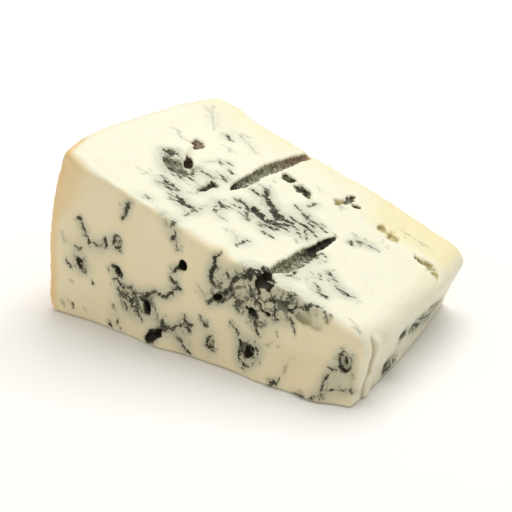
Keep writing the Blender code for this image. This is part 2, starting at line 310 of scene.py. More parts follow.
# The cheese as a block of small cells, each crossing holding its distance from the skin
PITCH, MARKS_PITCH = 0.42, 1.2
BLOCK_LOW, BLOCK_HIGH = (-9.3, -5.8, -1.3), (88.7, 62.4, 43.2)
lines = [np.arange(low, high, PITCH) for low, high in zip(BLOCK_LOW, BLOCK_HIGH)]
block = np.meshgrid(*lines, indexing="ij")
marks = knife_marks(lines, MARKS_PITCH)
fading = ease(block[2] / top_height(block[0]) * 5)
settled = [axis - mark * fading for axis, mark in zip(block, marks)]
flat_x, flat_y = unfolded(*settled)
flat_x, flat_y = straightened(flat_x, flat_y, settled[2])
uncut = rounded_depth(flat_x, flat_y, settled[2])
paste = uncut.copy()


def lumps(places, wavelength):
    """Smooth uneven values from about -1 to 1 at the places."""
    return np.array([noise.noise(place) for place in (places / wavelength).tolist()])


def strayed(places, amount):
    """The places shifted unevenly, so that what is cut there comes out torn."""
    shifts = [
        0.75 * noise.noise_vector(place / 2.3) + 0.4 * noise.noise_vector(place)
        for place in map(Vector, places.tolist())
    ]
    return places + amount * np.array(shifts).reshape(-1, 3)


def hollow_depth(places, centre, half_sizes, turn, rough):
    """Signed distance to a torn hollow, less than nothing inside it."""
    turned = np.array(Euler([math.radians(angle) for angle in turn]).to_matrix())
    local = (strayed(places, rough) - centre) @ turned / half_sizes
    reach = np.linalg.norm(local, axis=1)
    slope = np.linalg.norm(local / half_sizes, axis=1)
    return (reach - 1) * reach / np.maximum(slope, 1e-6)


def trough_depth(places, *course):
    """Signed distance to a needle channel that lies along the top."""
    from_y, xs, radii = np.array(course).T[:3]
    torn = strayed(places, TROUGH_ROUGH)
    along = np.clip(torn[:, 1], from_y[0], from_y[-1])
    x_at, radius = np.interp(along, from_y, xs), np.interp(along, from_y, radii)
    ribs = 0.09 * np.sin(along * 3.3 + 3 * lumps(places, 3.0))
    under = TROUGH_UNDER * np.minimum(radius, 1)
    off = np.stack([torn[:, 0] - x_at, torn[:, 1] - along, torn[:, 2] - top_height(x_at) + under])
    return np.linalg.norm(off, axis=0) - radius + ribs * radius


def off_needle(places, x, z, half_width, half_height, lean):
    """How far each place lies from a channel's middle, in its half sizes, and how fast that grows."""
    turn = math.radians(lean)
    torn = strayed(places, NEEDLE_ROUGH)
    off_x, off_z = torn[:, 0] - x, torn[:, 2] - z
    across = (off_x * math.cos(turn) - off_z * math.sin(turn)) / half_width
    along = (off_x * math.sin(turn) + off_z * math.cos(turn)) / half_height
    return np.hypot(across, along), np.hypot(across / half_width, along / half_height)


def needle_depth(places, x, z, half_width, half_height, lean, depth):
    """Signed distance to a needle channel that runs in from the front."""
    reach, slope = off_needle(places, x, z, half_width, half_height, lean)
    wall = (reach - 1) * reach / np.maximum(slope, 1e-6)
    floor = places[:, 1] + belly(x, z) - depth + 0.7 * reach**2
    return np.maximum(wall, floor)


def dimple_depth(places, x, z):
    """Signed distance to the dimple over a needle hole in the flat side."""
    out = places[:, 1] - DEPTH + BACK_TAPER * x / LENGTH
    off = np.linalg.norm([places[:, 0] - x, out * 1.4, places[:, 2] - z], axis=0)
    return off - DIMPLE_RADIUS + 0.5 * (0.34 * lumps(places, 1.9) + 0.2 * lumps(places, 0.8))


# Every opening: what gives its depth, its sizes, how dark and how brown its walls are, and the middle
# and half sizes of the box that it stays in. A trough's walls have their own shades at each place on
# its way, and a needle hole has its shades in the middle and just around it
openings = []
for centre, half_sizes, turn, dark, brown, rough in HOLLOWS:
    sizes = (np.array(centre), np.array(half_sizes), turn, rough)
    openings.append((hollow_depth, sizes, (dark, brown), centre, np.full(3, max(half_sizes) + 1.5)))
for course in TROUGHS:
    from_y, x, to_y = course[0][0], course[0][1], course[-1][0]
    middle = (x, (from_y + to_y) / 2, top_height(x))
    openings.append((trough_depth, course, None, middle, (4.5, (to_y - from_y) / 2 + 3, 4.5)))
for *sizes, dark, around in NEEDLE_HOLES:
    x, z, depth = sizes[0], sizes[1], sizes[5]
    openings.append((needle_depth, sizes, (dark, around), (x, -belly(x, z), z), (3.5, depth + 2, 3.5)))
for x, z in DIMPLES:
    shades = (DIMPLE_DARK, DIMPLE_BROWN)
    openings.append((dimple_depth, (x, z), shades, (x, DEPTH, z), (3.0, 5.0, 3.0)))

# Each opening is cut with a softened lip
LIP_ROUND = 0.35
for depth_of, sizes, _, centre, reach in openings:
    low = [np.searchsorted(line, c - r) for line, c, r in zip(lines, centre, reach)]
    high = [np.searchsorted(line, c + r) for line, c, r in zip(lines, centre, reach)]
    box = tuple(slice(first, last) for first, last in zip(low, high))
    places = np.stack([axis[box] for axis in block], axis=-1)
    reached = np.abs(uncut[box]) < np.max(reach)
    opening = np.full(reached.shape, -PITCH * 9)
    opening[reached] = -depth_of(places[reached], *sizes)
    near = np.maximum(LIP_ROUND - np.abs(paste[box] - opening), 0) / LIP_ROUND
    paste[box] = np.maximum(paste[box], opening) + near**2 * LIP_ROUND / 4


def skinned(depths):
    """Quads over the places where the depth passes through nothing, and their corners in cells."""
    inside = depths < 0
    corners = np.zeros(np.array(depths.shape) - 1, int)
    steps = np.eye(3, dtype=int)
    for step in np.ndindex(2, 2, 2):
        corners += inside[tuple(slice(s, n - 1 + s) for s, n in zip(step, depths.shape))]
    crossed = (corners > 0) & (corners < 8)
    cells = np.argwhere(crossed)
    number = np.full(crossed.shape, -1)
    number[crossed] = np.arange(len(cells))
    total, count, quads = np.zeros((len(cells), 3)), np.zeros((len(cells), 1)), []
    for axis in range(3):
        first, second = steps[(axis + 1) % 3], steps[(axis + 2) % 3]
        around = (0 * first, second, first, first + second)
        for step in around:
            start = cells + step
            here, there = depths[tuple(start.T)], depths[tuple((start + steps[axis]).T)]
            cut = (here < 0) != (there < 0)
            share = np.where(cut, here / np.where(cut, here - there, 1), 0)
            total += np.where(cut[:, None], start + share[:, None] * steps[axis], 0)
            count += cut[:, None]
        along = np.moveaxis(inside, axis, 0)
        edges = np.argwhere(np.moveaxis(along[:-1] != along[1:], 0, axis))
        quad = np.stack([number[tuple((edges - around[n]).T)] for n in (0, 2, 3, 1)], axis=1)
        outward = inside[tuple(edges.T)]
        quads.append(np.where(outward[:, None], quad, quad[:, ::-1]))
    return total / count, np.concatenate(quads)


def read_at(field, spots):
    """The field's values at spots given in cells."""
    base = np.floor(spots).astype(int)
    share = spots - base
    value = np.zeros(len(spots))
    for corner in np.ndindex(2, 2, 2):
        weight = np.prod(np.where(corner, share, 1 - share), axis=1)
        value += weight * field[tuple((base + corner).T)]
    return value


def sides_at(spots):
    """How far spots, given in cells, lie outside each of the six sides before they bent."""
    return np.stack(side_depths(*(read_at(field, spots) for field in (flat_x, flat_y, settled[2]))))


spots, quads = skinned(paste)
block_start = np.array([line[0] for line in lines])
raw_mesh = bpy.data.meshes.new("raw_skin")
raw_mesh.from_pydata((spots * PITCH + block_start).tolist(), [], quads.tolist())
thinned = bpy.data.objects.new("raw_skin", raw_mesh)
bpy.context.scene.collection.objects.link(thinned)

# The foot, the rim and the flat side carry little detail, so their share of the mesh is thinned
RIM, TIP, FRONT, BACK, FOOT, TOP = range(6)
PLAIN_SHARE, PLAIN_FROM_EDGE = 0.2, 2.5
sides = sides_at(spots)
plain = sides[[RIM, BACK, FOOT]].max(axis=0) > sides[[TIP, FRONT, TOP]].max(axis=0) + PLAIN_FROM_EDGE
group = thinned.vertex_groups.new(name="plain_sides")
group.add(np.flatnonzero(plain).tolist(), 1.0, "REPLACE")
thinning = thinned.modifiers.new("thinning", "DECIMATE")
thinning.vertex_group = group.name
thinning.ratio = 1 - plain.mean() * (1 - PLAIN_SHARE)
viewed = thinned.evaluated_get(bpy.context.evaluated_depsgraph_get())
paste_mesh = bpy.data.meshes.new_from_object(viewed)
paste_mesh.name = "blue_cheese_wedge"
bpy.data.objects.remove(thinned)
bpy.data.meshes.remove(raw_mesh)
skin = np.empty(len(paste_mesh.vertices) * 3)
paste_mesh.vertices.foreach_get("co", skin)
skin = skin.reshape(-1, 3)
skin_x, skin_y, skin_z = skin.T
spots = (skin - block_start) / PITCH
sink = -read_at(uncut, spots)
sides = sides_at(spots)


def facing(side, softness, spill=0.0):
    """1 on one side of the wedge, 0 on the others, blending over the softness at its edges. A spill
    carries the side's finish that far over them."""
    others = np.delete(sides, side, axis=0).max(axis=0)
    return ease((sides[side] + spill - others) / softness + 0.5)


def ring(x, y, half_width, half_height, lean, start, end):
    """Places along an oval's rim, from one angle to another in degrees."""
    turn = math.radians(lean)
    places = []
    for angle in np.linspace(math.radians(start), math.radians(end), 9):
        across, along = half_width * math.cos(angle), half_height * math.sin(angle)
        places.append((
            x + across * math.cos(turn) + along * math.sin(turn),
            y - across * math.sin(turn) + along * math.cos(turn),
        ))
    return places


# Mould that shows as lines: radius, darkness, then the places that the line passes. In the front the
# places are x and z
FRONT_VEINS = (
    (0.45, 0.85, (23.0, 32.6), (21.9, 30.6), (21.0, 28.2)),
    (0.45, 0.9, (6.9, 24.9), (7.6, 25.1), (8.5, 25.8)),
    (0.3, 0.9, (8.3, 24.6), (9.2, 23.2), (10.0, 21.5)),
    (0.6, 1.0, (10.1, 21.0), (10.6, 20.2)),
    (0.25, 0.9, (11.0, 20.4), (12.6, 19.9), (14.6, 20.2)),
    (0.45, 0.9, (15.2, 20.2), (15.6, 21.4), (15.4, 22.6)),
    (0.25, 0.8, (20.3, 23.2), (20.6, 22.4)),
    (0.3, 0.6, (2.4, 20.9), (2.6, 19.4), (3.6, 18.7)),
    (0.22, 0.9, (5.9, 18.2), (6.7, 17.7), (7.9, 17.9)),
    (0.7, 1.0, (6.7, 15.2), (7.1, 15.0)),
    (0.35, 0.9, (3.1, 13.8), (4.2, 12.6)),
    (0.35, 0.9, (11.0, 10.4), (11.1, 10.1)),
    (0.25, 0.5, (3.8, 9.2), (4.8, 8.8)),
    (0.7, 1.0, (18.0, 16.0), (18.8, 15.2), (19.8, 14.4)),
    (0.4, 0.9, (16.1, 14.8), (16.6, 14.4)),
    (0.35, 0.9, (17.5, 12.8), (18.6, 13.0), (19.3, 11.8), (20.6, 11.4)),
    (0.35, 0.9, (18.7, 11.6), (19.2, 10.2), (20.4, 9.6)),
    (0.3, 0.95, (21.4, 11.6), (22.6, 11.9), (23.4, 10.8), (24.6, 9.8)),
    (0.28, 0.95, (20.0, 10.4), (21.6, 8.8), (23.4, 7.2)),
    (0.28, 0.95, (21.4, 10.2), (23.2, 8.6), (24.8, 6.4)),
    (0.3, 0.95, (22.8, 10.2), (24.4, 8.2), (25.4, 6.0), (26.8, 4.6)),
    (0.25, 0.9, (20.4, 8.4), (21.6, 7.0), (23.0, 6.2)),
    (0.75, 1.0, (25.6, 9.9), (26.6, 9.4), (27.4, 8.2), (28.2, 6.9)),
    (0.45, 1.0, (26.2, 10.3), (27.6, 11.2), (28.6, 12.2), (30.0, 12.9)),
    (0.35, 0.95, (30.2, 12.8), (31.6, 12.0), (33.2, 12.6), (35.0, 14.3), (36.4, 15.2)),
    (0.5, 0.95, (34.3, 17.4), (35.2, 16.2), (36.8, 15.4)),
    (0.4, 0.9, (35.0, 18.6), (36.0, 19.4), (36.8, 20.4)),
    (0.16, 0.85, (32.6, 32.2), (33.8, 31.2), (35.0, 30.0), (35.7, 29.0)),
    (0.45, 0.95, (35.9, 28.5), (35.7, 27.6), (35.1, 26.8)),
    (0.22, 0.85, (36.1, 27.2), (36.3, 25.8), (36.5, 24.4)),
    (0.22, 0.8, (29.3, 9.8), (29.7, 8.2), (31.0, 6.4)),
    (0.55, 1.0, (31.4, 5.8), (32.6, 5.0), (33.6, 5.2)),
    (0.35, 0.95, (33.6, 5.2), (35.2, 5.2), (37.0, 6.4), (38.6, 7.2), (40.3, 7.2)),
    (0.3, 0.9, (38.2, 7.2), (38.0, 8.8)),
    (0.3, 0.9, (38.4, 6.6), (39.8, 5.8)),
    (0.25, 0.9, (36.0, 4.8), (37.8, 3.2), (39.2, 1.9), (40.2, 1.2)),
    (0.45, 0.95, (40.2, 1.6), (40.5, 0.9)),
    (0.9, 1.0, (28.6, 1.2), (31.4, 3.4)),
    (0.3, 0.9, (17.4, 6.6), (17.7, 5.6)),
    (0.6, 0.95, (18.8, 3.4), (19.2, 2.7)),
    (0.5, 0.8, (16.1, 2.0), (16.4, 1.0)),
    (0.35, 0.9, (4.8, 3.5), (5.2, 2.7)),
    (0.3, 0.5, (8.2, 3.4), (9.0, 2.4)),
    (0.35, 0.6, (1.2, 3.4), (2.4, 1.8)),
    (0.28, 0.95, (42.2, 9.7), (43.2, 9.0), (44.2, 8.1)),
    (0.45, 1.0, (46.9, 3.6), (47.4, 3.1)),
    (0.6, 0.95, (47.2, 25.8), (46.5, 24.2), (45.9, 22.2), (45.6, 20.4), (46.4, 18.4)),
    (0.9, 1.0, (46.8, 15.7), (48.4, 16.4), (49.4, 17.4)),
    (0.4, 1.0, (44.5, 13.4), (45.4, 14.8), (46.6, 15.4)),
    (0.25, 0.6, (41.4, 17.6), (43.0, 16.0), (44.4, 14.4)),
    (0.5, 1.0, (49.8, 17.8), (50.9, 19.0), (51.2, 20.6), (52.4, 21.8), (54.2, 22.2)),
    (0.55, 1.0, (54.2, 22.2), (55.4, 23.4), (55.6, 24.4)),
    (0.35, 0.9, (50.0, 23.0), (50.2, 21.2)),
    (0.35, 0.95, (55.2, 21.6), (56.4, 19.8), (55.7, 17.6)),
    (0.3, 0.95, (55.4, 17.2), (53.6, 16.2), (51.8, 17.0), (51.0, 18.6)),
    (0.35, 0.9, (52.0, 16.6), (52.4, 14.8), (53.4, 13.4)),
    (0.6, 1.0, (55.4, 15.6), (56.6, 14.6), (57.4, 13.8)),
    (0.3, 0.95, (57.0, 13.4), (57.4, 11.6), (58.2, 9.6)),
    (0.4, 0.9, (58.6, 19.6), (58.0, 17.4), (59.0, 15.8), (60.6, 15.0)),
    (0.45, 0.95, (57.2, 22.8), (57.8, 20.8), (58.4, 19.4)),
    (0.4, 0.95, (60.0, 18.2), (62.0, 18.7), (64.0, 19.0), (66.4, 19.4)),
    (0.3, 0.9, (62.2, 18.2), (62.8, 16.8), (61.8, 15.4)),
    (0.25, 0.85, (60.4, 13.6), (62.2, 14.2), (64.2, 15.2)),
    (0.3, 0.85, (56.4, 19.6), (57.6, 18.0), (57.2, 16.2)),
    (0.25, 0.85, (60.6, 21.0), (61.4, 19.6), (63.0, 20.2)),
    (0.25, 0.8, (64.4, 17.0), (65.6, 16.4), (65.2, 14.8)),
    (0.25, 0.85, (51.4, 15.8), (53.4, 15.2), (55.0, 15.8)),
    (0.25, 0.8, (48.0, 19.6), (48.8, 21.4), (50.2, 22.4)),
    (0.3, 0.85, (47.4, 18.8), (48.6, 18.6), (49.8, 18.0)),
    (0.25, 0.8, (55.2, 11.8), (56.6, 12.6), (58.4, 12.0), (60.0, 12.6)),
    (0.45, 0.9, (64.4, 18.8), (66.2, 17.8), (68.6, 18.6)),
    (0.35, 1.0, (66.6, 16.1), (66.8, 14.9)),
    (0.35, 0.95, (67.1, 13.9), (67.6, 12.6)),
    (0.3, 0.8, (63.0, 11.4), (62.9, 10.9)),
    (0.25, 0.5, (60.2, 8.0), (62.5, 9.4)),
    (0.35, 0.9, (50.4, 10.6), (52.0, 9.7), (53.0, 8.2)),
    (0.55, 1.0, (53.2, 7.6), (53.9, 6.6)),
    (0.3, 0.9, (58.0, 6.9), (58.6, 6.0)),
    (0.4, 0.85, (63.0, 0.3), (64.0, 1.2), (65.3, 2.2)),
    (0.35, 0.65, (66.6, 5.6), (66.5, 4.2)),
    (0.45, 0.85, (76.6, 7.6), (77.4, 7.2)),
    (0.28, 0.85, (76.9, 7.4), (76.4, 4.8), (76.1, 2.6), (76.8, 1.6)),
    (0.25, 0.85, (77.4, 3.0), (79.0, 3.5), (80.6, 3.4), (82.2, 3.3)),
    (0.4, 0.95, (81.6, 3.5), (82.4, 3.3)),
    (0.3, 0.85, (69.4, 0.4), (72.6, 0.6)),
    (0.35, 0.75, (73.6, 0.6), (75.0, 1.4), (76.2, 1.2)),
)

# Round the needle holes the mould keeps to the hole's edge
FRONT_RINGS = (
    (0.35, 1.0, *ring(7.7, 13.8, 0.85, 1.9, -35, 30, 200)),
    (0.2, 1.0, *ring(7.7, 13.8, 0.85, 1.9, -35, 200, 390)),
    (0.32, 1.0, *ring(19.0, 22.3, 1.15, 1.65, 15, 20, 350)),
    (0.26, 1.0, *ring(46.1, 4.9, 1.2, 1.4, 0, 70, 290)),
    (0.3, 1.0, *ring(56.3, 5.0, 2.4, 2.3, 0, 120, 290)),
    (0.2, 0.95, *ring(56.3, 5.0, 2.5, 2.2, 0, -50, 60)),
    (0.28, 1.0, *ring(56.2, 5.4, 1.4, 1.5, 0, -40, 250)),
    (0.18, 1.0, *ring(80.0, 9.6, 1.4, 2.3, -8, 0, 360)),
)

# In the top the places are x and y
TOP_VEINS = (
    (0.22, 0.45, (7.0, 53.2), (8.4, 50.4), (11.4, 47.2), (13.6, 44.4)),
    (0.4, 0.6, (18.6, 48.8), (19.6, 47.6)),
    (0.25, 0.55, (20.4, 47.4), (22.6, 46.4), (25.2, 45.0), (27.6, 44.2)),
    (0.45, 0.9, (17.3, 45.0), (18.7, 43.9)),
    (0.35, 0.6, (21.2, 40.8), (21.8, 39.6), (22.2, 38.8)),
    (0.35, 0.3, (8.4, 36.0), (11.0, 34.2), (14.6, 34.0)),
    (0.35, 0.85, (25.2, 34.3), (26.7, 33.9)),
    (0.35, 0.85, (24.3, 32.6), (25.3, 31.8)),
    (0.3, 0.7, (21.6, 28.6), (22.6, 30.2), (23.3, 31.4)),
    (0.4, 0.85, (28.2, 31.0), (29.4, 30.4)),
    (0.45, 0.95, (13.6, 25.2), (14.8, 26.0), (16.3, 26.4)),
    (0.3, 0.7, (14.2, 29.2), (15.6, 27.8)),
    (0.45, 0.95, (15.0, 22.6), (16.8, 21.4), (18.8, 20.4), (21.2, 20.0)),
    (0.4, 0.95, (21.2, 20.0), (23.4, 20.3), (25.8, 19.5)),
    (0.35, 0.9, (17.0, 21.0), (18.8, 19.4), (20.8, 18.6)),
    (0.35, 0.85, (20.4, 19.8), (22.6, 18.4), (24.6, 17.6)),
    (0.3, 0.9, (18.0, 23.4), (20.0, 22.0), (22.6, 21.2)),
    (0.35, 0.9, (22.4, 25.3), (24.4, 25.0), (26.6, 24.8), (28.2, 24.9)),
    (0.4, 0.75, (27.4, 27.8), (29.2, 27.2), (31.0, 26.0)),
    (0.3, 0.6, (29.0, 28.2), (30.6, 27.4)),
    (0.7, 0.95, (29.4, 22.8), (30.2, 21.8)),
    (0.5, 0.9, (29.4, 20.0), (29.5, 17.6)),
    (0.3, 0.6, (29.5, 17.4), (30.0, 15.4), (28.8, 14.0)),
    (0.35, 0.9, (21.0, 14.6), (22.4, 14.0), (24.0, 13.3), (25.6, 12.8), (27.0, 12.9)),
    (0.3, 0.85, (21.8, 11.6), (24.0, 11.5), (27.2, 12.1)),
    (0.3, 0.95, (22.6, 13.2), (24.2, 12.2), (26.0, 11.6)),
    (0.35, 1.0, (15.4, 23.2), (17.2, 21.6), (18.8, 19.8), (20.2, 18.8)),
    (0.3, 1.0, (16.8, 23.0), (18.8, 21.4), (20.4, 20.2)),
    (0.3, 1.0, (19.0, 22.6), (20.6, 21.4), (22.2, 20.6), (23.8, 19.0)),
    (0.3, 0.95, (13.4, 24.4), (14.6, 25.2), (15.8, 24.8)),
    (0.35, 0.95, (22.6, 24.0), (23.8, 22.6), (24.4, 21.2)),
    (0.8, 1.0, (56.4, 0.6), (58.2, 2.2), (60.4, 1.2)),
    (0.5, 1.0, (56.8, 2.8), (57.4, 4.4)),
    (0.5, 1.0, (29.2, 10.8), (30.2, 9.6), (31.4, 9.1), (32.8, 9.4), (34.6, 9.5)),
    (0.3, 0.9, (30.6, 8.8), (31.6, 8.2)),
    (0.22, 0.85, (34.6, 9.2), (34.7, 7.2), (34.9, 5.0)),
    (0.35, 0.75, (28.2, 8.6), (28.9, 7.8)),
    (0.3, 0.75, (24.8, 3.6), (25.6, 3.8), (26.4, 4.4)),
    (0.25, 0.6, (30.2, 2.2), (32.2, 1.0), (33.6, 0.0)),
    (0.5, 0.95, (36.0, 17.0), (37.2, 16.7)),
    (0.22, 0.8, (35.4, 16.6), (36.0, 14.8), (37.0, 13.2), (38.4, 12.6), (39.8, 12.3)),
    (0.22, 0.7, (34.3, 13.4), (34.9, 12.6)),
    (0.25, 0.6, (33.2, 17.4), (34.6, 16.6)),
    (0.6, 1.0, (37.6, 32.4), (39.0, 31.0), (40.0, 29.4)),
    (0.7, 1.0, (40.0, 29.4), (41.4, 28.1), (43.2, 27.2), (45.2, 25.8)),
    (0.85, 1.0, (45.4, 25.6), (46.6, 23.8)),
    (0.45, 0.95, (36.4, 29.1), (38.6, 28.4)),
    (0.3, 0.7, (40.2, 27.0), (41.6, 25.2)),
    (0.3, 0.65, (41.6, 26.4), (42.8, 25.4)),
    (0.3, 0.55, (36.4, 37.6), (37.4, 36.6)),
    (0.25, 0.5, (37.4, 34.8), (38.2, 33.6)),
    (0.4, 0.9, (37.0, 21.6), (39.0, 22.0), (40.4, 21.4)),
    (0.7, 1.0, (40.4, 21.2), (42.3, 22.0), (43.8, 21.0), (45.4, 20.2)),
    (0.5, 1.0, (45.4, 20.4), (47.0, 21.0), (48.6, 22.2)),
    (0.35, 0.9, (41.0, 20.6), (42.0, 18.6), (43.8, 16.6)),
    (0.3, 0.8, (39.6, 19.6), (37.6, 19.0)),
    (0.5, 0.9, (46.8, 23.2), (48.4, 24.8), (50.2, 25.2)),
    (0.5, 0.9, (47.2, 21.4), (49.2, 22.4), (50.4, 23.8)),
    (0.4, 0.8, (48.6, 20.8), (50.2, 21.8), (51.4, 21.2)),
    (0.4, 0.9, (48.4, 26.9), (50.6, 26.5), (52.8, 26.6), (55.0, 25.8), (56.4, 25.2)),
    (0.35, 0.85, (45.8, 32.6), (47.4, 31.9), (49.6, 30.8), (52.0, 29.9), (54.0, 29.6), (56.0, 29.2)),
    (0.35, 0.85, (51.2, 29.2), (52.6, 28.6), (54.0, 27.8)),
    (0.35, 0.85, (46.0, 18.4), (48.0, 18.8), (50.0, 19.8)),
    (0.55, 0.95, (48.4, 16.4), (50.0, 16.0)),
    (0.3, 0.75, (46.2, 17.2), (47.4, 17.8)),
    (0.3, 0.75, (51.0, 24.6), (53.0, 22.8), (55.0, 21.4)),
    (0.3, 0.75, (53.4, 25.0), (55.2, 23.2), (56.2, 21.6)),
    (0.25, 0.6, (54.2, 20.2), (55.6, 18.6)),
    (0.35, 0.85, (48.4, 38.0), (48.3, 36.4), (48.1, 34.7)),
    (0.3, 0.5, (52.2, 43.0), (53.4, 40.6)),
    (0.25, 0.4, (44.6, 44.6), (46.0, 43.4)),
    (0.35, 0.85, (61.9, 31.4), (62.8, 30.0)),
    (0.3, 0.85, (63.0, 32.6), (64.6, 33.2), (67.5, 33.8)),
    (0.25, 0.5, (59.8, 35.2), (62.4, 34.0)),
    (0.3, 0.5, (65.8, 39.2), (66.6, 37.8)),
    (0.22, 1.0, (60.9, 20.4), (61.2, 17.8), (61.1, 16.0)),
    (0.22, 1.0, (61.3, 14.6), (61.0, 12.6), (60.9, 10.6)),
    (0.28, 1.0, (61.6, 9.6), (61.9, 7.6), (61.2, 5.6)),
    (0.25, 0.6, (66.4, 17.8), (66.2, 16.6)),
    (0.35, 0.9, (66.0, 15.4), (67.0, 14.6), (68.6, 14.0)),
    (0.25, 0.8, (65.6, 12.8), (66.6, 11.4)),
    (0.3, 0.85, (69.2, 12.7), (70.8, 12.1)),
    (0.4, 0.95, (71.0, 11.9), (72.4, 11.3), (73.4, 11.8)),
    (0.22, 0.75, (73.4, 11.8), (74.8, 12.5)),
    (0.22, 0.75, (66.8, 9.3), (68.4, 7.9), (69.8, 7.0)),
    (0.3, 0.9, (68.4, 6.4), (70.0, 6.6), (71.3, 6.3)),
    (0.25, 0.6, (64.2, 9.4), (65.2, 8.4)),
    (0.35, 0.9, (64.8, 0.4), (66.0, 0.9), (66.8, 1.4)),
    (0.35, 0.9, (69.4, 0.4), (71.0, 1.6), (72.4, 2.2)),
    (0.3, 1.0, (73.8, 1.4), (74.9, 0.8)),
    (0.3, 0.4, (77.8, 3.8), (79.4, 4.3)),
    (0.22, 0.6, (42.4, 8.8), (43.4, 9.9), (45.0, 9.6), (47.0, 8.2)),
    (0.35, 0.9, (48.4, 10.3), (48.1, 8.6), (47.9, 6.3)),
    (0.3, 0.85, (53.2, 1.2), (54.4, 0.2)),
    (0.5, 1.0, (55.2, 0.8), (56.2, -0.2)),
    (0.25, 0.3, (65.6, 48.2), (69.0, 47.4), (72.6, 47.6)),
    (0.2, 0.35, (15.0, 12.6), (18.2, 12.4)),
)

# In the end face the places are y and z
END_VEINS = (
    (0.6, 1.0, (18.0, 9.0), (19.6, 8.4), (21.6, 7.8)),
    (0.5, 1.0, (19.2, 9.4), (20.8, 8.8)),
    (0.55, 0.85, (24.6, 8.9), (27.0, 8.0), (29.6, 6.6), (32.6, 5.2)),
    (0.4, 0.95, (25.2, 7.6), (27.6, 6.6)),
    (0.4, 0.8, (29.4, 8.4), (33.0, 7.2), (37.0, 5.6), (41.0, 4.4)),
    (0.3, 0.75, (34.2, 9.6), (38.0, 8.0), (43.0, 6.2), (48.0, 4.4), (51.6, 3.1)),
    (0.3, 0.7, (33.0, 8.6), (38.0, 6.8), (43.0, 5.0), (48.0, 3.2)),
    (0.25, 0.65, (31.6, 6.0), (36.0, 4.4), (41.0, 3.0), (46.0, 2.0)),
    (0.5, 0.8, (13.6, 3.9), (15.0, 2.6), (16.4, 3.4)),
    (0.5, 0.8, (14.2, 1.8), (16.2, 1.4), (18.0, 1.9)),
    (0.5, 0.8, (17.8, 4.0), (18.6, 2.8), (19.8, 1.4)),
)

# In the foot, which is the other radial cut, the mould lies in clusters like those of the top:
# x and y of the middle, how far it spreads each way, and how many lines it has
FOOT_CLUSTERS = (
    (26.0, 20.0, 11.0, 9.0, 22),
    (48.0, 30.0, 11.0, 12.0, 26),
    (66.0, 14.0, 9.0, 8.0, 14),
    (20.0, 44.0, 9.0, 7.0, 9),
    (63.0, 44.0, 8.0, 6.0, 8),
)
draws = np.random.default_rng(4)

# Lines darker than this are black in the middle, and the wire smears them across the cut. Each line
# is drawn in stretches about half a millimetre long
INKY, STRETCH = 0.72, 0.5


def cluster_veins(x, y, spread_x, spread_y, count):
    """Short wandering lines of mould around a place, as long as those that the top shows."""
    veins = []
    for _ in range(count):
        place = np.array((x, y)) + draws.normal(0, 0.5, 2) * (spread_x, spread_y)
        heading = draws.normal(-0.5, 0.8)
        places = [tuple(place)]
        for _ in range(draws.integers(1, 6)):
            heading += draws.normal(0, 0.6)
            place = place + np.array((math.cos(heading), math.sin(heading))) * draws.uniform(0.8, 2.0)
            places.append(tuple(place))
        veins.append((draws.uniform(0.22, 0.6), draws.uniform(0.5, 1.0), *places))
    return veins


def mould_stretches(veins, stray, drag):
    """Short stretches that follow the lines raggedly, with flecks beside them, and with smears across
    the cut where the wire dragged the mould."""
    stretches = []
    for radius, dark, *places in veins:
        places = np.array(places)
        lengths = np.linalg.norm(np.diff(places, axis=0), axis=1)
        along = np.concatenate([[0], np.cumsum(lengths)])
        count = max(int(along[-1] / STRETCH), 1) + 1
        at = np.linspace(0, along[-1], count)
        path = np.stack([np.interp(at, along, places[:, axis]) for axis in (0, 1)], axis=1)
        path += draws.normal(0, 1, path.shape) * stray * (0.5 + radius)
        taper = 0.5 + 0.5 * np.sin(np.linspace(0.3, math.pi - 0.3, count))
        sizes = radius * taper * draws.uniform(0.45, 1.35, count)
        for start, end, size in zip(path[:-1], path[1:], sizes * (0.78 if drag else 1)):
            stretches.append((*start, *end, size, dark))
        if drag and dark > INKY:
            slant = abs(places[-1, 0] - places[0, 0]) / along[-1]
            reach = drag * (0.2 + radius) * (0.2 + 0.8 * slant) * draws.uniform(0.2, 1.9, count)
            smear = np.stack([reach, reach * draws.normal(-0.14, 0.16, count)], axis=1)
            sizes = sizes * draws.uniform(0.25, 1.0, count)
            for start, end, size in zip(path - smear, path + smear, sizes):
                stretches.append((*start, *end, size, dark))
        for _ in range(draws.poisson(0.7 * along[-1] + 0.3)):
            spot = path[draws.integers(count)] + draws.normal(0, 0.8, 2) * (1 + drag, 1)
            reach = draws.normal(0, 0.2, 2) * (1 + 2 * drag, 0.6)
            stretches.append((*(spot - reach), *(spot + reach), draws.uniform(0.0, 0.16), dark * 0.9))
    return np.array(stretches)


# How each place on the skin is marked: mm to the nearest inky and the nearest faint line, and haze.
# A side's lines mark the skin to some depth under it, and the foot's only close to the board
NO_LINE, HAZE_REACH = 6.0, 2.0
MARKED_DEPTH, FOOT_MARKED_DEPTH = 5, 2

# How far the lines stray and how far the mould was dragged where the wire cut, where the saw did, and
# round the needle holes
BY_WIRE, BY_SAW, AT_HOLES = (0.12, 0.9), (0.22, 0.0), (0.06, 0.0)
ink = np.full(len(skin), NO_LINE)
ash = np.full(len(skin), NO_LINE)
haze = np.zeros(len(skin))


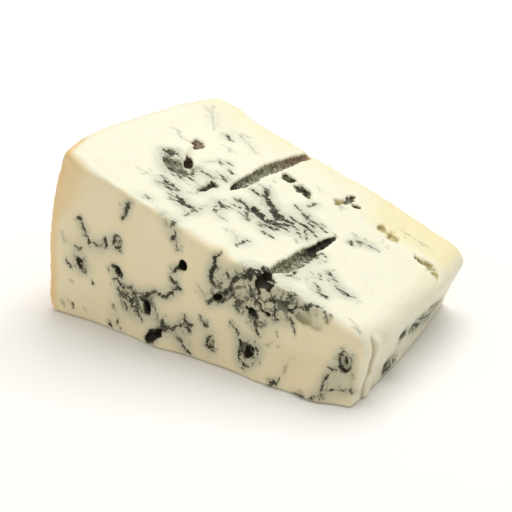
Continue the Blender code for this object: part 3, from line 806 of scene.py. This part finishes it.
def draw_mould(near, across, up, sunk, stretches):
    """Marks the places near one side of the wedge with the stretches drawn on it."""
    places = np.stack([across[near], up[near]], axis=1).astype(np.float32)
    sunk = (0.6 * np.maximum(sunk[near] - 1.3, 0)).astype(np.float32)
    to_inky, to_faint, total = ink[near], ash[near], haze[near]
    for start_x, start_y, end_x, end_y, radius, dark in stretches:
        run_x, run_y = end_x - start_x, end_y - start_y
        off_x, off_y = places[:, 0] - start_x, places[:, 1] - start_y
        length = run_x**2 + run_y**2
        share = np.clip((off_x * run_x + off_y * run_y) / max(length, 1e-6), 0, 1)
        apart = np.sqrt((off_x - share * run_x) ** 2 + (off_y - share * run_y) ** 2 + sunk**2)
        if dark >= INKY:
            np.minimum(to_inky, apart - radius + 0.6 * (1 - dark), out=to_inky)
        else:
            np.minimum(to_faint, apart - radius, out=to_faint)
        total += dark * (0.08 + 0.6 * radius) * np.exp(-((apart / HAZE_REACH) ** 2))
    ink[near], ash[near], haze[near] = to_inky, to_faint, total


below_top = top_height(skin_x) - skin_z
behind_front = skin_y + belly(skin_x, skin_z)
before_tip = -sides[TIP]
on_top, on_front, on_tip = (depth < MARKED_DEPTH for depth in (below_top, behind_front, before_tip))
on_foot = skin_z < FOOT_MARKED_DEPTH
draw_mould(on_top, skin_x, skin_y, below_top, mould_stretches(TOP_VEINS, *BY_WIRE))
draw_mould(on_front, skin_x, skin_z, behind_front, mould_stretches(FRONT_VEINS, *BY_SAW))
draw_mould(on_front, skin_x, skin_z, behind_front, mould_stretches(FRONT_RINGS, *AT_HOLES))
draw_mould(on_tip, skin_y, skin_z, before_tip, mould_stretches(END_VEINS, *BY_WIRE))
foot_veins = [vein for cluster in FOOT_CLUSTERS for vein in cluster_veins(*cluster)]
draw_mould(on_foot, skin_x, skin_y, skin_z, mould_stretches(foot_veins, *BY_WIRE))

# Where haze lies over several curds, it shows as grey, half-clear paste: x, z, reach and strength in
# the front
GREY_CURDS = (
    (53.0, 18.5, 6.5, 0.5),
    (60.5, 17.0, 5.6, 0.5),
    (24.0, 8.5, 4.5, 0.6),
    (57.0, 5.5, 2.5, 0.5),
    (79.5, 5.0, 3.5, 0.6),
    (45.0, 3.0, 8.0, 0.5),
    (9.0, 17.0, 6.5, 0.7),
    (19.0, 4.5, 4.5, 0.6),
)
for x, z, reach, strength in GREY_CURDS:
    apart = np.hypot(skin_x - x, skin_z - z)
    haze += strength * np.exp(-((apart / reach) ** 2)) * on_front
haze = 1 - np.exp(-0.6 * haze)

# How dark, how brown and how olive the walls of each opening are. A place is on a wall where it is
# close to the opening and under the uncut skin. In the crevice at the tip the dark and the brown are
# painted shade
lining_and_shade = np.zeros(len(skin))
brown_mould_and_shade = np.zeros(len(skin))
moss = np.zeros(len(skin))
for depth_of, sizes, shades, centre, reach in openings:
    near = np.all(np.abs(skin - centre) < reach, axis=1)
    places = skin[near]
    wall = ease(1.15 - depth_of(places, *sizes) / 0.5) * ease((sink[near] - 0.15) / 0.55)
    if depth_of is trough_depth:
        from_y, _, _, darks, browns = np.array(sizes).T
        dark, brown = np.interp(places[:, 1], from_y, darks), np.interp(places[:, 1], from_y, browns)
    elif depth_of is needle_depth:
        off, _ = off_needle(places, *sizes[:5])
        dark = blend(blend(*shades, ease((off - 0.3) / 0.2)), 1.0, ease((off - 0.74) / 0.2))
        brown = 0.0
    else:
        dark, brown = shades
        moss[near] = np.maximum(moss[near], wall * (0 < dark < 0.4 and brown == 0))
    lining_and_shade[near] = np.maximum(lining_and_shade[near], wall * dark)
    brown_mould_and_shade[near] = np.maximum(brown_mould_and_shade[near], wall * brown)

# The skin's fine relief: grain, drag along the top's cut, rougher rind, and pits where mould is. The
# foot was pressed smooth
normals = np.empty(len(skin) * 3)
paste_mesh.vertices.foreach_get("normal", normals)
normals = normals.reshape(-1, 3)
relief = 0.05 * lumps(skin, 0.9) + 0.09 * lumps(skin, 2.6)
relief += 0.1 * lumps(skin * (0.16, 1, 1), 1.3) * facing(TOP, 2.0)
relief += 0.13 * lumps(skin, 1.7) * np.maximum(facing(RIM, 2.0), facing(BACK, 2.0))
relief -= 0.2 * ease((0.35 - ink) / 0.6) + 0.1 * ease((0.3 - ash) / 0.6)
relief *= 1 - facing(FOOT, 1.5)
moved = skin + normals * relief[:, None]
moved[:, 2] = np.maximum(moved[:, 2], 0)
paste_mesh.vertices.foreach_set("co", ((moved + CORNER_IN_FRAME) * MM).ravel())
paste_mesh.shade_smooth()

# How far the front's wear reaches over the top, how deep under the wheel's own skin a place lies, how
# warm the paste is there, and how much it has yellowed towards the back and the tip
lap = front_lap(skin_x) + 0.7 * lumps(skin, 4.0) + 0.4 * lumps(skin, 1.7)
under_rind = -rounded(sides[[RIM, BACK]], (RIM_ROUND_AT_BACK, BACK_ROUND))
warm_reach = blend(3.5, 10.0, ease((skin_z - 22) / 10) * facing(FRONT, 3.5))
yellowed = 0.65 * ease((skin_y - 42) / 18) + ease((skin_x - 50) / 14) * ease((skin_y - 38) / 9)
yellowed = np.clip(yellowed, 0.5 * ease((skin_x + 0.5 * skin_y - 78) / 30), 1)
marks_on_skin = {
    "ink": ink,
    "ash": ash,
    "haze": haze,
    "lining_and_shade": lining_and_shade,
    "brown_mould_and_shade": brown_mould_and_shade,
    "moss": moss,
    "under_rind": under_rind,
    "yellowed": yellowed * facing(TOP, 4.0),
    "warm": ease(1.3 - under_rind / warm_reach),
    # At the worn front edge, where it rounds down, the top's finish gives way to the front's darker,
    # warmer tone, which is partly painted shade
    "cut_top": facing(TOP, 2.0, -np.maximum(lap, 0) * (skin_y < 12)),
    "sawn_front": facing(FRONT, 2.6, lap),
    "tip_face": facing(TIP, 5.0),
}
for name, values in marks_on_skin.items():
    layer = paste_mesh.attributes.new(name, "FLOAT", "POINT")
    layer.data.foreach_set("value", values.astype(np.float32))

# One sheet for the finish: each side of the wedge laid flat, as the axes that run across and up it
# and the place in mm where it starts
SHEET, SHEET_MARGIN = 165.0, 0.5
SHEET_PLACES = {
    TOP: ((1, 0, 0), (0, 1, 0), (0, 0)),
    FRONT: ((1, 0, 0), (0, 0, 1), (0, 68.5)),
    BACK: ((-1, 0, 0), (0, 0, 1), (0, 114.5)),
    RIM: ((0, 0, 1), (0, 1, 0), (98.5, 0)),
    TIP: ((0, 0, 1), (0, -1, 0), (144.5, 0)),
    FOOT: ((0, 1, 0), (1, 0, 0), (98.5, 68.5)),
}
corner_vertex = np.empty(len(paste_mesh.loops), int)
corner_count = np.empty(len(paste_mesh.polygons), int)
paste_mesh.loops.foreach_get("vertex_index", corner_vertex)
paste_mesh.polygons.foreach_get("loop_total", corner_count)
face_of_corner = np.repeat(np.arange(len(corner_count)), corner_count)
face_sides = [np.bincount(face_of_corner, depths[corner_vertex]) / corner_count for depths in sides]
corner_side = np.argmax(face_sides, axis=0)[face_of_corner]
sheet = np.zeros((len(corner_vertex), 2))
for side, (across, up, start) in SHEET_PLACES.items():
    laid = np.stack([moved @ np.array(across), moved @ np.array(up)], axis=1)[corner_vertex]
    mine = corner_side == side
    sheet[mine] = (laid[mine] - laid[mine].min(axis=0) + start + SHEET_MARGIN) / SHEET
paste_mesh.uv_layers.new(name="OFBake").data.foreach_set("uv", sheet.ravel())


class Wire:
    """A socket of the cheese's material. Arithmetic on it adds Math nodes."""

    tree = None

    def __init__(self, socket):
        self.socket = socket

    @classmethod
    def node(cls, kind, settings, inputs, output=0):
        """Adds a node, sets it up, links or sets its sockets, and gives one of its outputs."""
        made = cls.tree.nodes.new(kind)
        for name, value in settings.items():
            setattr(made, name, value)
        for name, value in inputs.items():
            if isinstance(value, Wire):
                cls.tree.links.new(value.socket, made.inputs[name])
            else:
                made.inputs[name].default_value = value
        return cls(made.outputs[output])

    def math(self, operation, first, second):
        return self.node("ShaderNodeMath", {"operation": operation}, {0: first, 1: second})

    def __add__(self, other):
        return self.math("ADD", self, other)

    def __radd__(self, other):
        return self.math("ADD", other, self)

    def __sub__(self, other):
        return self.math("SUBTRACT", self, other)

    def __rsub__(self, other):
        return self.math("SUBTRACT", other, self)

    def __mul__(self, other):
        return self.math("MULTIPLY", self, other)

    def __rmul__(self, other):
        return self.math("MULTIPLY", other, self)

    def most(self, other):
        """The larger of two values."""
        return self.math("MAXIMUM", self, other)

    def climb(self, low, high):
        """0 at the low value, 1 at the high one, and a smooth climb between."""
        span = {"Value": self, "From Min": low, "From Max": high}
        return self.node("ShaderNodeMapRange", {"interpolation_type": "SMOOTHSTEP"}, span)


def skin_mark(name):
    """One of the values that the skin carries."""
    return Wire.node("ShaderNodeAttribute", {"attribute_name": name}, {}, "Fac")


def mottle(places, wavelength, detail=2.0, roughness=0.5):
    """Soft noise around 0.5, with its wavelength in millimetres."""
    settings = {"Vector": places, "Scale": 1 / wavelength, "Detail": detail, "Roughness": roughness}
    return Wire.node("ShaderNodeTexNoise", {}, settings)


def stained(under, over, share):
    """One colour over another by a share."""
    return Wire.node("ShaderNodeMix", {"data_type": "RGBA"}, {0: share, 6: under, 7: over}, 2)


# Colours as the light reflects them, red, green, blue and opaque
IVORY = (0.905, 0.90, 0.725, 1.0)
CHALK = (0.745, 0.76, 0.62, 1.0)
STRAW = (0.90, 0.83, 0.50, 1.0)
# Painted shade on the end face: darker and warmer than the ivory
END_FACE_SHADE = (0.82, 0.765, 0.60, 1.0)
# The sawn front: partly drier paste, partly painted shade, darker and warmer than the ivory
DRIED_AND_SHADED = (0.85, 0.75, 0.505, 1.0)
DRIED_GREY = (0.57, 0.57, 0.43, 1.0)
AMBER = (0.80, 0.55, 0.235, 1.0)
RIND_TAN = (0.66, 0.46, 0.22, 1.0)
RIND_PINK = (0.60, 0.36, 0.23, 1.0)
MOULD_GREY = (0.29, 0.285, 0.19, 1.0)
MOULD_BLACK = (0.02, 0.0185, 0.009, 1.0)
MOULD_OLIVE = (0.58, 0.50, 0.22, 1.0)
MOULD_AND_SHADE_BROWN = (0.185, 0.10, 0.052, 1.0)

cheese = bpy.data.materials.new("blue_cheese")
cheese.use_nodes = True
Wire.tree = cheese.node_tree
shader = cheese.node_tree.nodes["Principled BSDF"]

metres = Wire.node("ShaderNodeTexCoord", {}, {}, "Object")
places = Wire.node("ShaderNodeVectorMath", {"operation": "SCALE"}, {0: metres, "Scale": 1 / MM})
dragged = Wire.node("ShaderNodeVectorMath", {"operation": "MULTIPLY"}, {0: places, 1: (0.33, 1.0, 1.0)})
cut_top = skin_mark("cut_top")
sawn_front = skin_mark("sawn_front")
fine = mottle(places, 0.7, 3.0, 0.6)
broad = mottle(places, 2.2)
streaks = mottle(dragged, 0.75, 3.0, 0.6)
rag = fine * 0.5 + broad * 0.5
rag = rag + (streaks - rag) * (cut_top * 0.7)

# Paste: ivory, chalkier beside mould, yellower towards the rind, darker and warmer on the end face as
# painted shade, and darker and warmer where it was sawn, partly as drier paste and partly as painted
# shade
patchy = mottle(places, 13.0, 3.0)
haze_here = skin_mark("haze")
colour = stained(IVORY, STRAW, (skin_mark("yellowed") * 0.8 + (patchy - 0.5) * 0.5).climb(0.0, 1.0))
colour = stained(colour, CHALK, (haze_here + (patchy - 0.5) * 0.5).climb(0.03, 0.66) * cut_top)
colour = stained(colour, END_FACE_SHADE, skin_mark("tip_face") * 0.75)
colour = stained(colour, DRIED_AND_SHADED, sawn_front * (0.9 + (patchy - 0.5) * 0.6))
colour = stained(colour, DRIED_GREY, (1 - cut_top) * haze_here.climb(0.1, 0.8) * 0.75)

# Openings: olive and grey mould on their walls, with paler ribs where it is rubbed off. In the crevice
# at the tip the grey and the brown are painted shade
lining_and_shade_here = skin_mark("lining_and_shade")
speck = mottle(places, 0.42, 2.0, 0.7)
speck = speck + (mottle(dragged, 0.45, 2.0, 0.7) - speck) * (cut_top * 0.8)
grit = (speck - 0.5) * (1.1 + cut_top * 0.9) + (rag - 0.5) * 1.5
lined_and_shaded = (lining_and_shade_here + grit * 0.6 * lining_and_shade_here.climb(0.0, 0.3)).climb(0.0, 1.0)
moss_here = skin_mark("moss")
mossy = (moss_here + (broad - 0.5) * 1.8 + grit * 0.8).climb(0.15, 1.1) * moss_here.climb(0.0, 0.4)
colour = stained(colour, MOULD_OLIVE, mossy * 0.85)
colour = stained(colour, MOULD_GREY, lined_and_shaded.climb(0.18, 0.52) * 0.9)
# Brown mould in the openings, and brown painted shade at the foot of the crevice at the tip
brown_mould_and_shade_here = skin_mark("brown_mould_and_shade")
colour = stained(colour, MOULD_AND_SHADE_BROWN, (brown_mould_and_shade_here + grit * 0.4).climb(0.3, 1.0) * 0.85)

# Mould: grey at the soft edge of each line, black in its middle, and grey seams between hazy curds
CURD_SIZE = 3.0
seams = Wire.node(
    "ShaderNodeTexVoronoi",
    {"feature": "DISTANCE_TO_EDGE"},
    {"Vector": places, "Scale": 1 / CURD_SIZE},
)
seam_line = (seams * 3.0 + grit * 0.9 + (broad - 0.5)).climb(0.58, -0.1)
seam_line = seam_line * haze_here.climb(0.6, 0.9) * (1 - cut_top)
ink_here = skin_mark("ink")
soft = (ink_here + grit + (broad - 0.5) * 1.6).climb(0.75, -0.15) * (0.4 + (broad - 0.3) * 0.6)
core = (ink_here + grit).climb(0.26, -0.16)
faint = (skin_mark("ash") + grit).climb(0.35, -0.4) * 0.6
wisps = (haze_here * broad * 1.4 + (streaks - 0.5) * cut_top).climb(0.3, 1.0) * 0.4
grey = soft.most(core).most(faint).most(seam_line * 0.8).most(wisps * haze_here)
colour = stained(colour, MOULD_GREY, grey)
dark = core * (0.86 + (broad - 0.5) * 1.2 + (fine - 0.5) * 1.4)
dark = dark.most(lined_and_shaded.climb(0.42, 0.95)).most(seam_line * 0.6).climb(0.1, 0.95)
colour = stained(colour, MOULD_BLACK, dark * 0.97)

# Rind: dry tan skin with pinkish blotches, amber paste under it
blotches = mottle(places, 5.0, 4.0, 0.6)
amber_share = (skin_mark("warm") + (broad - 0.5) * 0.4).climb(0.0, 1.0) * 0.5
amber_share = amber_share + (skin_mark("under_rind") + (broad - 0.5) * 2.0).climb(3.4, 0.4) * 0.4
amber_share = amber_share * (1 - cut_top * 0.88) * (1 - skin_mark("tip_face") * 0.7)
colour = stained(colour, AMBER, amber_share * (1 - dark))
rind = stained(RIND_TAN, RIND_PINK, blotches.climb(0.45, 0.7))
rind = stained(rind, STRAW, mottle(places, 8.0, 3.0).climb(0.5, 0.72) * 0.5)
rind_share = (skin_mark("under_rind") + (fine - 0.5) * 0.6).climb(0.55, 0.1)
colour = stained(colour, rind, rind_share * 0.85)
Wire.tree.links.new(colour.socket, shader.inputs["Base Color"])

# Sheen: moist paste, matt mould and matt rind
dull = dark.most(lined_and_shaded).most(rind_share)
roughness = 0.42 + (fine - 0.5) * 0.16 + dull * 0.3
Wire.tree.links.new(roughness.socket, shader.inputs["Roughness"])
grain = mottle(places, 0.35, 3.0, 0.6) * 0.35 + fine * 0.5 + streaks * cut_top * 0.8 - dark * 0.8
grain = grain + mottle(places, 1.2, 4.0, 0.65) * rind_share * 2.0
bump = Wire.node("ShaderNodeBump", {}, {"Strength": 0.5, "Distance": 0.16 * MM, "Height": grain})
Wire.tree.links.new(bump.socket, shader.inputs["Normal"])
shader.inputs["Subsurface Weight"].default_value = 0.3
shader.inputs["Subsurface Radius"].default_value = (1.0, 0.8, 0.45)
shader.inputs["Subsurface Scale"].default_value = 1.6 * MM
shader.inputs["Specular IOR Level"].default_value = 0.4
shader.inputs["IOR"].default_value = 1.42
paste_mesh.materials.append(cheese)

wedge = bpy.data.objects.new("blue_cheese_wedge", paste_mesh)
bpy.context.scene.collection.objects.link(wedge)
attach(wedge, "root")
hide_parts("gorgonzola_wedge")

# The floor.
# A wide sheet of matt white card that the wedge stands on. It runs far past the camera's view, and
# it isn't part of the object.
FLOOR_HALF = 4.0
floor_mesh = bpy.data.meshes.new("studio_floor")
corners = [(x * FLOOR_HALF, y * FLOOR_HALF, 0) for x, y in ((-1, -1), (1, -1), (1, 1), (-1, 1))]
floor_mesh.from_pydata(corners, [], [(0, 1, 2, 3)])
card = bpy.data.materials.new("white_card")
card.use_nodes = True
card_shader = card.node_tree.nodes["Principled BSDF"]
card_shader.inputs["Base Color"].default_value = (0.95, 0.955, 0.96, 1.0)
card_shader.inputs["Roughness"].default_value = 0.9
card_shader.inputs["Specular IOR Level"].default_value = 0.1
floor_mesh.materials.append(card)
floor = bpy.data.objects.new("studio_floor", floor_mesh)
bpy.context.scene.collection.objects.link(floor)

# The light.
# One wide soft box hangs overhead and a little behind the wedge, a dimmer warm one stands in front
# to its left, and the room gives an even pale glow.
LAMPS = (
    # name, place in m, width in m, watts, colour
    ("overhead_box", (-0.15, 0.55, 1.25), 1.3, 16.0, (1.0, 1.0, 0.985)),
    ("front_box", (-0.7, -1.1, 0.45), 0.9, 1.9, (1.0, 0.90, 0.76)),
)
for name, place, width, watts, tint in LAMPS:
    lamp = bpy.data.lights.new(name, "AREA")
    lamp.shape = "SQUARE"
    lamp.size = width
    lamp.energy = watts
    lamp.color = tint
    box = bpy.data.objects.new(name, lamp)
    box.location = place
    box.rotation_euler = Vector(place).to_track_quat("Z", "Y").to_euler()
    bpy.context.scene.collection.objects.link(box)
world = bpy.data.worlds.new("studio")
world.use_nodes = True
world.node_tree.nodes["Background"].inputs["Color"].default_value = (1.0, 0.95, 0.87, 1.0)
world.node_tree.nodes["Background"].inputs["Strength"].default_value = 0.48
bpy.context.scene.world = world
bpy.context.scene.view_settings.view_transform = "Standard"

# The camera.
# It looks down on the wedge's front and thin end from the right, through a lens whose focal length
# is 1400 pixels of the 512-pixel picture.
CAMERA_FROM_CORNER = (214.427, -222.966, 140.945)
CAMERA_BACK = (0.53155923, -0.75564421, 0.38268343)
PICTURE_WIDTH, FOCAL_PIXELS, SENSOR_WIDTH = 512, 1400, 36.0
camera_data = bpy.data.cameras.new("picture_camera")
camera_data.sensor_width = SENSOR_WIDTH
camera_data.lens = SENSOR_WIDTH * FOCAL_PIXELS / PICTURE_WIDTH
camera_data.clip_start = 0.01
camera = bpy.data.objects.new("picture_camera", camera_data)
camera.location = Vector(np.add(CAMERA_FROM_CORNER, CORNER_IN_FRAME)) * MM
camera.rotation_euler = Vector(CAMERA_BACK).to_track_quat("Z", "Y").to_euler()
bpy.context.scene.collection.objects.link(camera)
bpy.context.scene.camera = camera
